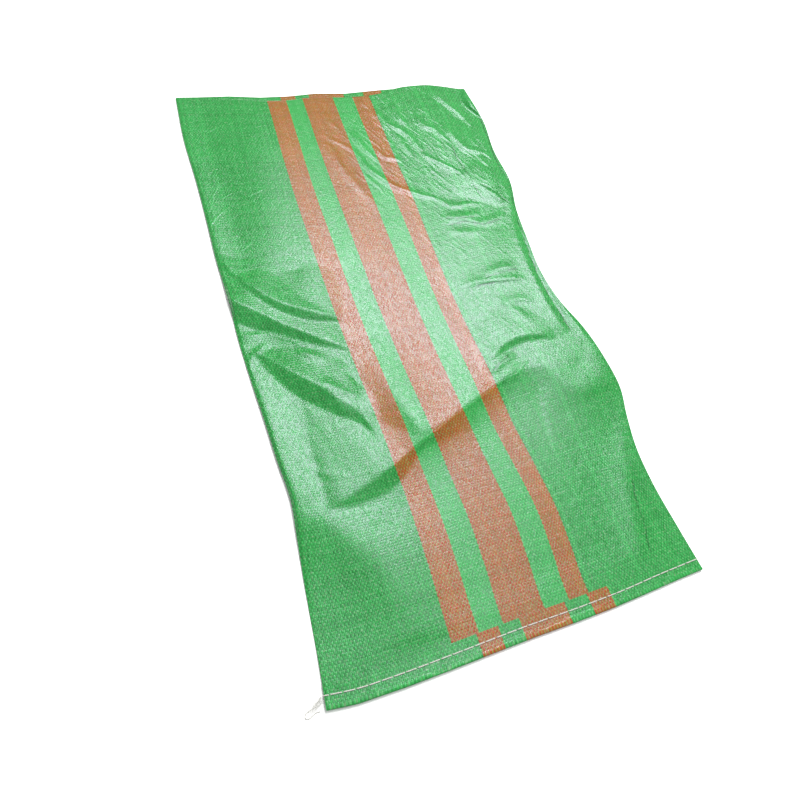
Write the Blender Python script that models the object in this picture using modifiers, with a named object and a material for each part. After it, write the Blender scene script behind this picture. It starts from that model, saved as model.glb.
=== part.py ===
"""Woven polypropylene sack, lying empty and flat on a level floor.

The sack is one seamless tube of woven tape. Its bottom end is folded once over the front and sewn
through four layers with a white thread, whose loose end hangs out at one corner. The mouth is open.

Model axes: +X across the sack, +Y from the sewn bottom to the open mouth, +Z up from the floor.
The origin is on the floor, under the middle of the sack's outline. Lengths are in metres.
"""

import math

import bmesh
import bpy
from mathutils import Vector

# Driving dimensions of the sack
SACK_WIDTH = 0.500
SACK_LENGTH = 0.905
FRONT_LIP_SET_BACK = 0.009
HEM_HEIGHT = 0.026
WALL = 0.0004
LAYER_GAP = 0.0004

# Driving dimensions of the sewing thread
SEAM_HEIGHT = 0.0145
THREAD_DIAMETER = 0.0008
TAIL_DIAMETER = 0.0010
CLEARANCE = 0.0003
FLOOR_CLEARANCE = 0.0001

# How the cloth lies: the hem rides on the seam's underside, and the rest of the back lies on the floor
LIFT_START = 0.075
LIFT_END = 0.032
EDGE_FLAT = 0.030

# Side edges, as (share of the length from the bottom fold, metres outside the straight edge)
LEFT_EDGE = ((0.00, 0.000), (0.10, -0.007), (0.22, -0.015), (0.33, -0.013), (0.50, -0.004),
             (0.65, -0.001), (0.80, 0.001), (0.90, 0.003), (1.00, 0.000))
RIGHT_EDGE = ((0.00, 0.000), (0.10, -0.012), (0.20, -0.008), (0.30, 0.008), (0.36, 0.010),
              (0.43, -0.004), (0.50, -0.019), (0.60, -0.020), (0.68, -0.012), (0.78, -0.002),
              (0.90, 0.005), (1.00, 0.000))

# Fold crests of the front panel. Each crest is a line of (share of the width, share of the length,
# height in metres), with the reach of its slopes towards the bottom and towards the mouth.
FOLD_CRESTS = (
    (((0.10, 0.225, 0.000), (0.24, 0.255, 0.006), (0.40, 0.295, 0.012), (0.55, 0.335, 0.015),
      (0.68, 0.362, 0.014), (0.82, 0.368, 0.013), (0.92, 0.335, 0.009), (1.02, 0.310, 0.004)),
     0.045, 0.075),
    (((0.00, 0.575, 0.003), (0.12, 0.530, 0.009), (0.22, 0.495, 0.006), (0.32, 0.460, 0.000)),
     0.030, 0.040),
    (((0.03, 0.480, 0.003), (0.12, 0.440, 0.010), (0.22, 0.390, 0.008), (0.34, 0.340, 0.000)),
     0.030, 0.042),
    (((0.44, 0.890, 0.000), (0.54, 0.800, 0.005), (0.70, 0.735, 0.007), (0.86, 0.705, 0.005),
      (0.97, 0.660, 0.002)), 0.030, 0.040),
)

# How finely the cloth is drawn
FRONT_COLUMNS = 28
BACK_COLUMNS = 6
EDGE_STEPS = 3
PANEL_ROWS = 40
LIFT_ROWS = 4
BEND_STEPS = 6
FLAP_ROWS = 2
THREAD_END_STEPS = 8
TAIL_STEP = 0.0022

# Loose end of the thread: where it lies beyond the seam's end, in metres from the bottom left corner
TAIL_ROUTE = (
    (-0.0039, 0.0139, 0.0025), (-0.0056, 0.0119, 0.0018), (-0.0082, 0.0092, 0.0010),
    (-0.0120, 0.0070, 0.0006), (-0.0170, 0.0056, 0.0006), (-0.0216, 0.0034, 0.0006),
    (-0.0224, 0.0002, 0.0006), (-0.0190, -0.0014, 0.0006), (-0.0146, 0.0004, 0.0006),
    (-0.0104, 0.0018, 0.0006), (-0.0064, 0.0016, 0.0006),
)

# Sizes that follow from the driving dimensions
FLAT_TUBE = 2.0 * WALL + LAYER_GAP
BEND_RADIUS = (FLAT_TUBE + LAYER_GAP) / 2.0
HEM_LIFT = FLOOR_CLEARANCE + THREAD_DIAMETER + CLEARANCE
HEM_TOP = HEM_LIFT + 2.0 * FLAT_TUBE + LAYER_GAP
BEND_Y = BEND_RADIUS + FLAT_TUBE / 2.0
SEAM_TOP = HEM_TOP + CLEARANCE + THREAD_DIAMETER / 2.0
SEAM_BOTTOM = FLOOR_CLEARANCE + THREAD_DIAMETER / 2.0
SEAM_END_RADIUS = (SEAM_TOP - SEAM_BOTTOM) / 2.0


def clear_scene():
    for item in list(bpy.data.objects):
        bpy.data.objects.remove(item, do_unlink=True)


def smooth_step(value):
    """0 below 0, 1 above 1 and a smooth curve between."""
    share = min(max(value, 0.0), 1.0)
    return share * share * (3.0 - 2.0 * share)


def eased(points, position):
    """Value at a position between (position, value) points, with level ends at each point."""
    for (low, low_value), (high, high_value) in zip(points, points[1:]):
        if position <= high:
            share = smooth_step((position - low) / (high - low))
            return low_value + (high_value - low_value) * share
    return points[-1][1]


def edge_positions(along):
    """Left and right edge of the sack at a distance from the bottom fold."""
    share = min(max(along / SACK_LENGTH, 0.0), 1.0)
    left = -SACK_WIDTH / 2.0 - eased(LEFT_EDGE, share)
    right = SACK_WIDTH / 2.0 + eased(RIGHT_EDGE, share)
    return left, right


def crest_height(points, reach_down, reach_up, place):
    """Height that one fold crest gives the front panel at a place."""
    best = 0.0
    for start, end in zip(points, points[1:]):
        first = Vector(((start[0] - 0.5) * SACK_WIDTH, start[1] * SACK_LENGTH))
        run = Vector(((end[0] - 0.5) * SACK_WIDTH, end[1] * SACK_LENGTH)) - first
        share = min(max((place - first).dot(run) / run.length_squared, 0.0), 1.0)
        away = place - first - run * share
        reach = reach_up if away.y > 0.0 else reach_down
        height = start[2] + (end[2] - start[2]) * share
        best = max(best, height * (1.0 - smooth_step(away.length / reach)))
    return best


def relief(across, along):
    """Height of the front panel above the flat sack."""
    left, right = edge_positions(along)
    place = Vector((across, along))
    height = sum(crest_height(points, down, up, place) for points, down, up in FOLD_CRESTS)
    inside = min(across - left, right - across) / EDGE_FLAT
    return height * smooth_step(inside)


def hem_lift(along):
    """Height of the back panel above the floor, where the hem rides on the seam."""
    return HEM_LIFT * smooth_step((LIFT_START - along) / (LIFT_START - LIFT_END))


def path_stations():
    """Middle of the flattened tube from the mouth round the bottom fold to the cut edge.

    Each station is (y, z, y and z of the direction from the back panel to the front panel, and
    whether the station lies in the open panel, where the folds may lift the front).
    """
    stations = []
    for row in range(PANEL_ROWS):
        y = SACK_LENGTH + (LIFT_START - SACK_LENGTH) * row / PANEL_ROWS
        stations.append((y, FLAT_TUBE / 2.0, 0.0, 1.0, True))
    for row in range(LIFT_ROWS):
        y = LIFT_START + (LIFT_END - LIFT_START) * row / LIFT_ROWS
        stations.append((y, hem_lift(y) + FLAT_TUBE / 2.0, 0.0, 1.0, True))
    stations.append((LIFT_END, HEM_LIFT + FLAT_TUBE / 2.0, 0.0, 1.0, False))
    bend_z = HEM_LIFT + FLAT_TUBE / 2.0 + BEND_RADIUS
    for step in range(BEND_STEPS + 1):
        angle = math.pi * step / BEND_STEPS
        y = BEND_Y - BEND_RADIUS * math.sin(angle)
        z = bend_z - BEND_RADIUS * math.cos(angle)
        stations.append((y, z, math.sin(angle), math.cos(angle), False))
    for row in range(1, FLAP_ROWS + 1):
        y = BEND_Y + (HEM_HEIGHT - BEND_Y) * row / FLAP_ROWS
        stations.append((y, bend_z + BEND_RADIUS, 0.0, -1.0, False))
    return stations


def loop_places():
    """Places round the flattened tube, as (share across, side bulge, share from back to front).

    The order runs from right to left over the front, round the left edge, back over the back and
    round the right edge.
    """
    places = []
    for column in range(FRONT_COLUMNS + 1):
        places.append((1.0 - column / FRONT_COLUMNS, 0.0, 1.0))
    for step in range(1, EDGE_STEPS):
        angle = math.pi * step / EDGE_STEPS
        places.append((0.0, -math.sin(angle), math.cos(angle)))
    for column in range(BACK_COLUMNS + 1):
        places.append((column / BACK_COLUMNS, 0.0, -1.0))
    for step in range(1, EDGE_STEPS):
        angle = math.pi * step / EDGE_STEPS
        places.append((1.0, math.sin(angle), -math.cos(angle)))
    return places


def lip_set_back(share_across):
    """How much shorter the front panel is than the back panel at the mouth."""
    rise = smooth_step((share_across - 0.02) / 0.06)
    fall = smooth_step((0.78 - share_across) / 0.10)
    return FRONT_LIP_SET_BACK * rise * fall


def cloth_point(place, station):
    """Point of the tube's outer face at a place round the loop and a station along it."""
    share_across, bulge, side = place
    y, z, toward_y, toward_z, open_panel = station
    left, right = edge_positions(y)
    half = FLAT_TUBE / 2.0
    x = left + half + (right - left - FLAT_TUBE) * share_across + half * bulge
    if not open_panel:
        return Vector((x, y + toward_y * half * side, z + toward_z * half * side))
    front = (1.0 + side) / 2.0
    shift = lip_set_back(share_across) * front * y / SACK_LENGTH
    height = relief(x, y) * front
    return Vector((x, y - shift, z + half * side + height))


def make_sack_body(collection, material):
    """Tube of cloth with an open mouth and a folded hem, thickened inwards."""
    places = loop_places()
    stations = path_stations()
    mesh = bpy.data.meshes.new("sack_body")
    tube = bmesh.new()
    bmesh.ops.create_cone(tube, cap_ends=False, segments=len(places), radius1=1.0, radius2=1.0,
                          depth=float(len(stations) - 1))
    lengthwise = [edge for edge in tube.edges if abs(edge.verts[0].co.z - edge.verts[1].co.z) > 0.5]
    bmesh.ops.subdivide_edges(tube, edges=lengthwise, cuts=len(stations) - 2)
    turn = 2.0 * math.pi / len(places)
    for vertex in tube.verts:
        angle = math.atan2(vertex.co.y, vertex.co.x)
        place = places[round(angle / turn - 0.25 * len(places)) % len(places)]
        station = stations[round(vertex.co.z + (len(stations) - 1) / 2.0)]
        vertex.co = cloth_point(place, station)
    bmesh.ops.triangulate(tube, faces=tube.faces[:])
    tube.to_mesh(mesh)
    tube.free()
    body = bpy.data.objects.new("sack_body", mesh)
    body.data.materials.append(material)
    collection.objects.link(body)
    cloth = body.modifiers.new("Cloth thickness", "SOLIDIFY")
    cloth.thickness = WALL
    cloth.offset = -1.0
    cloth.use_even_offset = True
    cloth.use_rim = True
    return body


def make_thread(name, points, diameter, closed, collection, material):
    """Round thread along a line of points."""
    curve = bpy.data.curves.new(name, "CURVE")
    curve.dimensions = "3D"
    curve.bevel_depth = diameter / 2.0
    curve.bevel_resolution = 2
    curve.use_fill_caps = not closed
    spline = curve.splines.new("POLY")
    spline.points.add(len(points) - 1)
    for spot, point in zip(spline.points, points):
        spot.co = (point[0], point[1], point[2], 1.0)
    spline.use_cyclic_u = closed
    curve.materials.append(material)
    thread = bpy.data.objects.new(name, curve)
    collection.objects.link(thread)
    return thread


def seam_line():
    """The seam over the front of the hem and back under it, round both side edges."""
    left, right = edge_positions(SEAM_HEIGHT)
    middle = SEAM_BOTTOM + SEAM_END_RADIUS
    points = []
    for centre, first_angle in ((right, math.pi / 2.0), (left, -math.pi / 2.0)):
        for step in range(THREAD_END_STEPS + 1):
            angle = first_angle - math.pi * step / THREAD_END_STEPS
            x = centre + SEAM_END_RADIUS * math.cos(angle)
            points.append((x, SEAM_HEIGHT, middle + SEAM_END_RADIUS * math.sin(angle)))
    return points


def curve_through(points, step):
    """Points about one step apart on a smooth curve through the route's own points."""
    padded = [Vector(points[0])] + [Vector(point) for point in points] + [Vector(points[-1])]
    line = []
    for before, start, end, after in zip(padded, padded[1:], padded[2:], padded[3:]):
        count = max(1, round((end - start).length / step))
        for index in range(count):
            share = index / count
            line.append(0.5 * (2.0 * start + (end - before) * share
                               + (2.0 * before - 5.0 * start + 4.0 * end - after) * share ** 2
                               + (3.0 * start - before - 3.0 * end + after) * share ** 3))
    line.append(padded[-1])
    return line


def tail_line():
    """Route of the loose thread end, which starts against the seam's left end."""
    seam_left, _ = edge_positions(SEAM_HEIGHT)
    reach = SEAM_END_RADIUS + THREAD_DIAMETER / 2.0 + CLEARANCE
    start = Vector((seam_left - reach, SEAM_HEIGHT, SEAM_BOTTOM + SEAM_END_RADIUS))
    left, _ = edge_positions(0.0)
    corner = Vector((left, 0.0, 0.0))
    return curve_through([start] + [corner + Vector(point) for point in TAIL_ROUTE], TAIL_STEP)


def make_material(name, colour, roughness):
    material = bpy.data.materials.new(name)
    material.use_nodes = True
    shader = material.node_tree.nodes["Principled BSDF"]
    shader.inputs["Base Color"].default_value = (*colour, 1.0)
    shader.inputs["Roughness"].default_value = roughness
    shader.inputs["Metallic"].default_value = 0.0
    return material


def centre_on_outline(body, others):
    """Move everything so that the origin is under the middle of the sack's outline."""
    columns = [vertex.co.x for vertex in body.data.vertices]
    rows = [vertex.co.y for vertex in body.data.vertices]
    middle = Vector(((min(columns) + max(columns)) / 2.0, (min(rows) + max(rows)) / 2.0, 0.0))
    for item in (body, *others):
        item.location = -middle


def main():
    clear_scene()
    collection = bpy.data.collections.new("woven_polypropylene_sack")
    bpy.context.scene.collection.children.link(collection)
    cloth = make_material("woven_polypropylene", (0.09, 0.42, 0.13), 0.40)
    yarn = make_material("sewing_thread", (0.78, 0.78, 0.74), 0.80)
    body = make_sack_body(collection, cloth)
    seam = make_thread("seam_thread", seam_line(), THREAD_DIAMETER, True, collection, yarn)
    tail = make_thread("thread_tail", tail_line(), TAIL_DIAMETER, False, collection, yarn)
    centre_on_outline(body, (seam, tail))


main()
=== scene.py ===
"""Woven polypropylene sack: the cloth as it lies, its weave and stripes, the sewn hem and loose thread.

Places on the sack are in millimetres, as across from the left edge and along from the bottom fold,
where they show on the floor plane from the camera. Everything that is built is in metres.
"""

import math

import bmesh
import bpy
import numpy as np
from mathutils import Matrix, Vector


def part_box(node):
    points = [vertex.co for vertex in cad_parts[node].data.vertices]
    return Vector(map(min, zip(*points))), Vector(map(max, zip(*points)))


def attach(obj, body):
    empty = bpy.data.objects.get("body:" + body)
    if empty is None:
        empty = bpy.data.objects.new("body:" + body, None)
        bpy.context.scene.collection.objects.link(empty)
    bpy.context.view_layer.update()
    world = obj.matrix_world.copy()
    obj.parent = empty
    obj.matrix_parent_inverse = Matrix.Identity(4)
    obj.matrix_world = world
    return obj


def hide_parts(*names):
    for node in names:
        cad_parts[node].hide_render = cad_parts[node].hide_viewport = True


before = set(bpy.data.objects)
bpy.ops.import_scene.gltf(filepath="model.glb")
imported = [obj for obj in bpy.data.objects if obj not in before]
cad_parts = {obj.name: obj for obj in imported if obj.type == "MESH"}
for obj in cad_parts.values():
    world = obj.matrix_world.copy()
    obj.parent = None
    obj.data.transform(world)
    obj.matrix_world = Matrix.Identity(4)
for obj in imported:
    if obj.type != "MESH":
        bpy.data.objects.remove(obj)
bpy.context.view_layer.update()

# Millimetres to metres
MM = 0.001
HUNDRED_MM = 0.1

# Sizes of the sack, in millimetres
SACK_LOW, SACK_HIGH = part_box("sack_body")
SACK_WIDTH = 500.0
SACK_LENGTH = (SACK_HIGH[1] - SACK_LOW[1]) / MM
MOUTH_BULGE_LEFT = 3.0
CORNER = Vector((SACK_LOW[0] + MOUTH_BULGE_LEFT * MM, SACK_LOW[1], 0.0))
HEM_HEIGHT = 26.0
WALL = 0.4
LAYER_GAP = 0.4
FLAT_TUBE = 2.0 * WALL + LAYER_GAP
CUT_LENGTH = SACK_LENGTH + HEM_HEIGHT

# Seam: height of the stitches above the bottom fold, their number, first hole and pitch, and how the
# hem lies on the thread below it
SEAM_HEIGHT = 14.5
STITCHES = 35
STITCH_START = 5.0
STITCH_PITCH = 14.0
THREAD = 0.8
THREAD_CLEARANCE = 0.3
FLOOR_CLEARANCE = 0.1
HEM_LIFT = FLOOR_CLEARANCE + THREAD + THREAD_CLEARANCE
HEM_TOP = HEM_LIFT + 2.0 * FLAT_TUBE + LAYER_GAP
SEAM_LOW = FLOOR_CLEARANCE + THREAD / 2.0

# Needle thread: its middle above the hem, its dip at each needle hole as (across from the hole, above
# the hem), its crown between holes, and how it turns under the hem at both ends as (across, height)
STITCH_RISE = 0.35
NEEDLE_HOLE = ((-1.3, STITCH_RISE), (-0.6, -0.8), (0.0, -1.3), (0.6, -0.8), (1.3, STITCH_RISE))
STITCH_CROWN = 0.5
LEFT_TURN = ((6.0, 0.85), (1.5, 0.85), (0.0, 0.85), (-1.5, 1.6), (-1.5, 3.2), (0.5, HEM_TOP + STITCH_RISE))
RIGHT_TURN = ((-2.0, HEM_TOP + STITCH_RISE), (1.2, 3.2), (1.2, 1.6), (-1.0, 0.85), (-2.5, 0.85),
              (-8.0, 0.85))

# Its two plies: their radius, their distance from the thread's middle and the length of one twist
PLY_RADIUS = 0.39
PLY_LAY = 0.34
TWIST = 5.0

# Looper thread's chain under the hem: half its width at a needle hole, what it gains between holes,
# the points drawn for each stitch, and how many points past its waist the chain starts
CHAIN_WAIST = 0.25
CHAIN_BELLY = 0.65
CHAIN_POINTS = 8
CHAIN_START = 0.8

# Distance between the drawn points of each thread
NEEDLE_STEP = 0.6
CHAIN_STEP = 1.2
CORD_STEP = 0.5
FIBRE_STEP = 0.8

# Loose thread end: where it leaves the seam, and its route from the bottom left corner, in metres
TAIL_START = (-0.2557, -0.4380, 0.0026)
TAIL_ROUTE = (
    (-0.0039, 0.0139, 0.0025), (-0.0056, 0.0119, 0.0018), (-0.0082, 0.0092, 0.0010),
    (-0.0120, 0.0070, 0.0006), (-0.0170, 0.0056, 0.0006), (-0.0216, 0.0034, 0.0006),
    (-0.0224, 0.0002, 0.0006), (-0.0190, -0.0014, 0.0006), (-0.0146, 0.0004, 0.0006),
    (-0.0104, 0.0018, 0.0006), (-0.0064, 0.0016, 0.0006),
)
TAIL_DIAMETER = 0.0010

# Fibres frayed out of it, in millimetres and degrees: how far left to right, back and down from the
# thread end's start each one begins, its direction, its length, its bend and how high its tip lies
FIBRES = 60
FIBRE_RADIUS = 0.07
FIBRE_ASIDE = (-2.0, 1.0)
FIBRE_BACK = (0.0, 6.0)
FIBRE_DOWN = (0.2, 2.0)
FIBRE_TURN = (190.0, 218.0)
FIBRE_LENGTH = (8.0, 22.0)
FIBRE_BEND = 0.07
FIBRE_WAVE = 0.02
FIBRE_TIP = (0.25, 1.6)

# Weave, in millimetres of cloth: width of one warp and one weft tape with its gap, and from where to
# where the stripes run on the front and on the back
WARP_PITCH = SACK_WIDTH / 231.0
WEFT_PITCH = 3.31
FRONT_STRIPES = ((150.0, 185.0), (217.0, 272.0), (306.5, 334.5))
BACK_STRIPES = ((179.0, 207.0), (237.0, 298.0), (331.0, 362.0))

# Colours in sRGB: the tapes and threads each between a darker and a lighter tone
GREEN_DARK, GREEN_LIGHT = "1B672A", "34A04B"
ORANGE_DARK, ORANGE_LIGHT = "7C2305", "A43709"
STRIPE_WEFT_DARK, STRIPE_WEFT_LIGHT = "665F24", "90863C"
# Painted glints: a pale colour mixed into the tapes in small spots, standing in for the film's sparkle
PAINTED_GLINT_COLOUR = "BACBA8"
THREAD_TONES = ("AEADA6", "D2D1CB")
FIBRE_TONES = ("D4D4D0", "EDEDE9")

# Tone of a tape from 0 dark to 1 light: the least, and the share of each crossing's own tone, of each
# warp and weft tape's, of soft clouds, of a few pale tapes, of a painted sheen on the green bands between
# the stripes and of a warp tape that lies on top
TONE_LEAST = 0.05
CROSSING_SHARE = 0.22
WARP_SHARE = 0.21
WEFT_SHARE = 0.18
CLOUD_SHARE = 0.28
PALE_TAPE_SHARE = 0.16
PALE_TAPE_RARITY = 14.0
# Green bands between the stripes that carry a painted sheen
PAINTED_SHEEN_BANDS = ((185.0, 217.0), (272.0, 306.5))
PAINTED_SHEEN_SHARE = 0.17
DOT_SHARE = 0.46

# In a stripe: how far the orange-brown shows where the warp lies on top, and the rest is uneven
WARP_COVER = 0.66

# Painted shade in the grooves of the weave, a little painted highlight on its cushions and painted shade
# on the cut ends, and how far those reach
GROOVE_PAINTED_SHADE = 0.74
CUSHION_PAINTED_HIGHLIGHT = 1.06
CUT_PAINTED_SHADE = 0.88
CUT_EDGE = 0.5

# Patterns of the cloth and the film, as waves to 100 mm: sway of the tapes, clouds of tone, spots of
# painted glint, grain and pebbles of the film, its crumples along and across the steep folds, their bends,
# and the bends and breaks of its fine lines. Last, the marks of a thread's twist.
SWAYS = 3.0
CLOUDS = 1.4
GLINT_SPOTS = 35.0
GRAINS = 43.0
PEBBLES = 12.0
CRUMPLES_ALONG = 2.8
CRUMPLES_ACROSS = 12.5
CRUMPLE_BENDS = 1.1
LINE_BENDS = 3.4
LINE_BREAKS = 2.6
PLY_MARKS = 90.0

# Heights of the weave's cushions and of the film's patterns, in millimetres
CUSHION_LOW, CUSHION_HIGH = 0.03, 0.19
GRAIN_HEIGHT = 0.21
PEBBLE_HEIGHT = 0.38
CRUMPLE_HEIGHT = 0.85
RAISED_HEIGHT = 0.21
PRESSED_DEPTH = 0.175
PLY_MARK_DEPTH = 0.1

# How far the tapes sway, in tapes, and the fine lines, in millimetres; how wide those lines are, the
# painted highlight of the raised ones and the painted shade of the pressed ones, their strength where they
# fade, and how strong the painted glints are
SWAY_SHARE = 0.5
LINE_SWAY = 10.0
RAISED_REACH, PRESSED_REACH = 2.4, 2.6
RAISED_PAINTED_HIGHLIGHT, PRESSED_PAINTED_SHADE = 0.20, -0.55
LINE_LEAST = 0.3
PAINTED_GLINT_SHARE = 0.21

# Where the film is crumpled, as (from, to, share at the first, share at the second), in millimetres as
# laid: more to the right, little on the back, most at the mouth, some above the shoulder, and a little
# everywhere. The steep folds run at an angle in degrees.
CRUMPLED_RIGHT = (190.0, 320.0, 0.0, 1.0)
CRUMPLED_BACK = (500.0, 530.0, 1.0, 0.15)
CRUMPLED_MOUTH = (560.0, 700.0, 0.0, 1.0)
CRUMPLED_SHOULDER = (320.0, 400.0, 0.0, 0.45)
CRUMPLED_LEAST = 0.10
FOLD_DIRECTION = 60.0

# Film's gloss, a little violet as in the photograph's cold light, what it gains where the film is
# crumpled, its roughness, what that gains and loses, how much flatter the weave lies under crumpled
# film, and the thread's dull face
FILM_GLOSS_TINT = (0.82, 0.80, 1.0, 1.0)
FILM_GLOSS = 0.36
CRUMPLED_GLOSS = 0.08
FILM_ROUGHNESS = 0.135
ROUGHNESS_SPREAD = 0.12
CRUMPLED_SMOOTHER = 0.01
CRUMPLED_CUSHION = 0.6
POLYPROPYLENE_IOR = 1.49
THREAD_ROUGHNESS = 0.75

# Camera, from the four corners of the sack in the photograph
IMAGE_SIZE = 800.0
FOCAL_PIXELS = 646.3
PRINCIPAL_X = 402.5
SENSOR_WIDTH = 36.0
CAMERA_PLACE = Vector((-83.0, 0.2, 732.4))
CAMERA_RIGHT = Vector((0.92859, -0.30504, 0.21071))
CAMERA_UP = Vector((0.18312, 0.87188, 0.45448))

# Light of the white room, and softboxes as (name, place, target, size, watts), in metres
ROOM_LIGHT = 0.52
SOFTBOXES = (
    ("far_softbox", (1.11, 1.59, 3.0), (-0.05, -0.05, 0.0), (2.0, 1.6), 172.0),
    ("top_softbox", (0.72, -0.10, 2.6), (-0.08, -0.36, 0.0), (1.2, 1.2), 20.0),
)
FLOOR_SIZE = 16.0
FLOOR_DROP = 0.0006

# Outline, as (along, millimetres outside the straight edge)
LEFT_EDGE = ((0, 0), (45, -4), (91, -7), (134, -10), (179, -14), (227, -18), (279, -14), (334, -11),
             (392, -7), (453, -4), (516, -4), (584, -1), (656, -1), (732, 0), (814, 3), (905, 0))
RIGHT_EDGE = ((0, 0), (60, -6), (127, -11), (179, -9), (224, 0), (270, 12), (321, 11), (376, 2),
              (434, -17), (493, -24), (552, -20), (614, -14), (678, 0), (748, -2), (820, 6), (905, 0))
BOTTOM_FOLD = ((0, 0), (30, -3.5), (80, -4.2), (150, -2.5), (240, 0.4), (320, 1.5), (380, 3.6),
               (440, 7.9), (500, 11))
BACK_LIP = ((0, 0), (48, -1), (95, -1), (119, -2.4), (143, -5.8), (167, -7), (192, -5.7), (219, -2),
            (245, -0.8), (297, -3), (325, -1.8), (353, 2), (383, 6), (412, 7.3), (441, 8.7),
            (470, 5), (488, 1), (500, 0))
FRONT_LIP_SET_BACK = ((0, 0), (30, 3), (100, 6), (178, 7.5), (240, 8.5), (300, 8.5), (345, 8),
                      (364, 5.5), (382, 0), (500, 0))

# How far the side edges curl up off the floor, as (along, height), and how wide each curl is
LEFT_CURL = 26.0
RIGHT_CURL = 22.0
LEFT_LIFT = ((0, 0), (80, 0), (130, 0.5), (180, 1.3), (227, 1.8), (392, 1.8), (516, 3), (584, 3.6),
             (700, 2.6), (820, 2), (905, 1.2))
RIGHT_LIFT = ((0, 0), (60, 0), (127, 1), (224, 1.5), (376, 1.5), (493, 2), (614, 2), (748, 1.5),
              (905, 1))

# Sideways drift of the cloth at the middle of each stripe, as (along, millimetres to the right)
STRIPE_DRIFT = (
    (167.5, ((0, 0), (26, 0), (119, 3), (175, 3), (235, 1), (299, -1), (367, -5.5), (440, -10),
             (516, -13), (598, -14), (685, -15.5), (780, -14), (884, -11), (905, -11))),
    (244.5, ((0, 0), (26, 0), (97, 3.5), (155, 5), (216, 0.5), (282, -2), (352, -8.5), (426, -12.5),
             (504, -15), (588, -16.5), (677, -18), (775, -21), (880, -21.5), (905, -21.5))),
    (320.5, ((0, 0), (26, 0), (77, 2), (136, 5), (199, -0.5), (267, -9), (337, -10), (412, -14.5),
             (492, -17), (577, -17), (668, -17.5), (768, -20.5), (876, -22), (905, -22))),
)

# Folds of the front panel. Each is a line of (across, along, height), the reach of its slope on the
# left and on the right of that line's direction, and how round its crest is (1 sharp, 2 round). With
# roundness 0 the two sides are flat facets, and the middle numbers are their slopes.
SWELLS = (
    # Slack cloth inside the left edge, above the pleats and below them
    (((122, 910, 1.5), (120, 870, 4), (112, 800, 6), (105, 700, 6), (98, 650, 6), (92, 608, 6)),
     120, 62, 2.0),
    (((5, 420, 0), (7, 385, 2), (11, 334, 3.5), (14, 280, 4), (17, 240, 3.5), (18, 215, 2)),
     50, 20, 2.0),
    (((4, 212, 2), (27, 204, 5), (48, 195, 7), (64, 177, 8), (78, 158, 8), (95, 138, 7),
      (108, 105, 6), (116, 66, 4), (120, 40, 2)), 50, 46, 1.7),
    # Slack cloth inside the right edge, near the mouth and near the hem
    (((415, 910, 1.5), (420, 870, 3), (428, 800, 4), (434, 740, 4), (442, 650, 3), (450, 590, 0)),
     70, 60, 2.0),
    (((488, 610, 0), (482, 560, 3), (478, 520, 5), (477, 485, 6), (483, 440, 7), (495, 385, 8),
      (505, 335, 8), (511, 302, 6), (515, 282, 3)), 30, 88, 2.0),
)
CREST_FOLDS = (
    # Long crest from the lower left to the hollow of the right edge
    (((118, 229, 0), (154, 243, 3.5), (187, 258, 8), (219, 273, 9), (269, 297, 8.5), (297, 309, 8.5),
      (325, 320, 7.5), (355, 333, 5), (382, 348, 1)), 78, 19, 1.0),
    (((57, 209, 0), (75, 213, 3.5), (100, 221, 6), (123, 230, 7.5), (151, 240, 6), (187, 258, 1.5),
      (205, 266, 0)), 0.05, 0.32, 0),
    # Broad shoulder that carries the crest on to the right edge
    (((331, 314, 0), (352, 325, 3), (372, 333, 5), (398, 338, 7), (419, 328, 8), (432, 304, 8),
      (446, 291, 8), (462, 287, 8), (488, 286, 7), (512, 284, 5)), 80, 41, 1.4),
    # Low arc above the shoulder, and the narrow dent between them
    (((328, 352, 0), (342, 366, 2.4), (361, 378, 3.4), (387, 387, 3.8), (411, 388, 3.4), (432, 383, 2),
      (446, 372, 0)), 0.07, 0.34, 0),
    (((322, 334, 0), (333, 341, 1.5), (350, 350, 1.8), (368, 356, 1.2), (380, 360, 0)), 0.08, 0.36, 0),
)
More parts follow.
